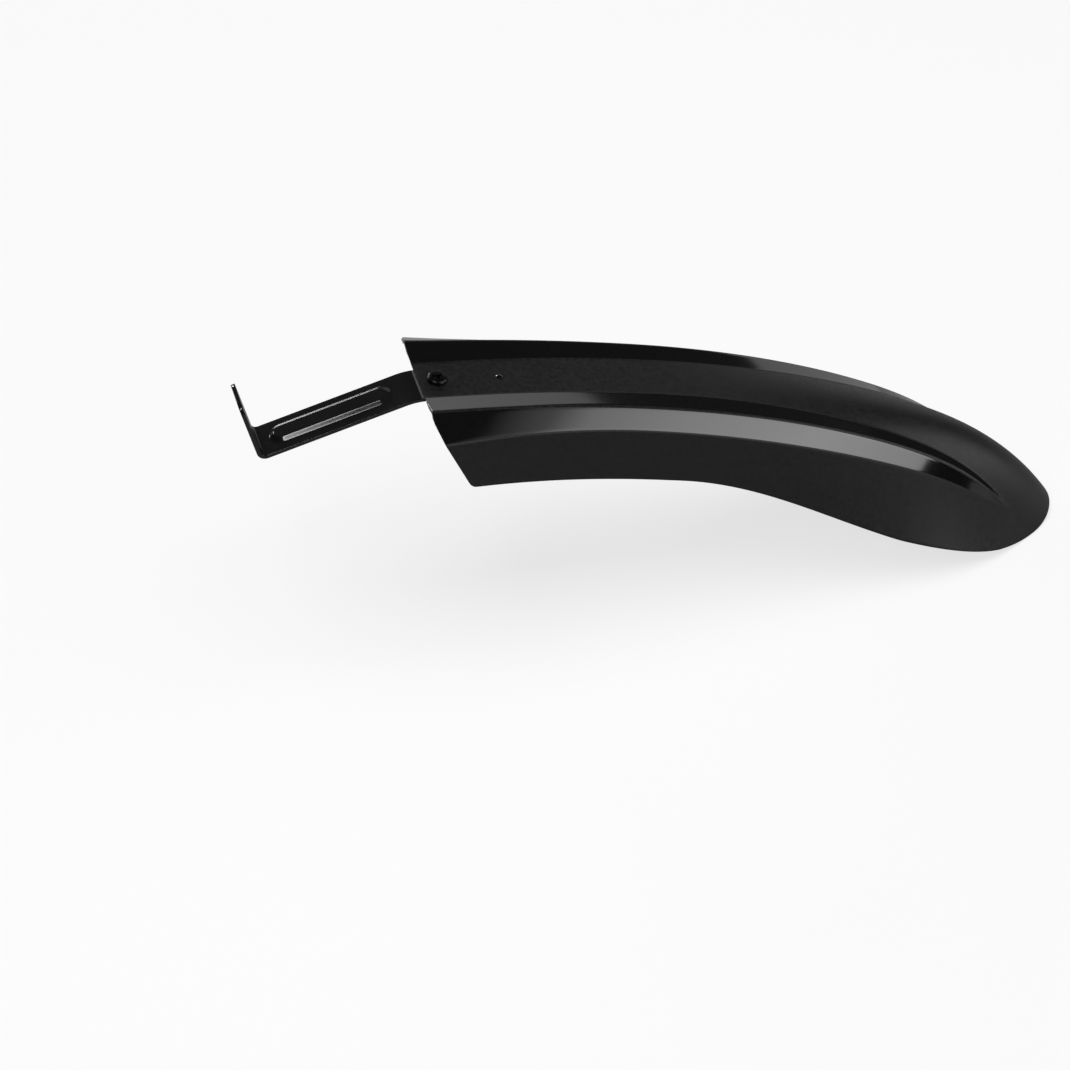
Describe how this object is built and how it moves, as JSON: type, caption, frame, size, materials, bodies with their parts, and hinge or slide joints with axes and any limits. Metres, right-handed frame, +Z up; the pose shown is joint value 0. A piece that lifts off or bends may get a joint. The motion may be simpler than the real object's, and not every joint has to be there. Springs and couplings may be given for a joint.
{
  "type": "bicycle mudguard",
  "caption": "Short front bicycle mudguard: moulded blade with a channelled back that flares into a rounded tail, screwed to a bent steel strap with a pressed bead and a fork bolt tab.",
  "frame": {"origin": "centre of the fork bolt hole, on the face of the strap's tab that lies against the fork crown", "axes": "+X forward along the guard to the blade's tail, +Z up as fitted to a fork that leans 18 degrees, XZ the plane of symmetry"},
  "size_m": [0.4172, 0.0916, 0.1286],
  "materials": {
    "blade_plastic": "semi-gloss black polypropylene, finely grained",
    "strap_paint": "gloss black paint on bent steel strip",
    "screw_black": "black zinc on steel, satin",
    "zinc_steel": "bright zinc on steel"
  },
  "bodies": {
    "root": {"blade": "blade_plastic", "strap_bracket": "strap_paint", "screw": "screw_black", "washer": "zinc_steel", "nut": "zinc_steel"}
  },
  "joints": []
}
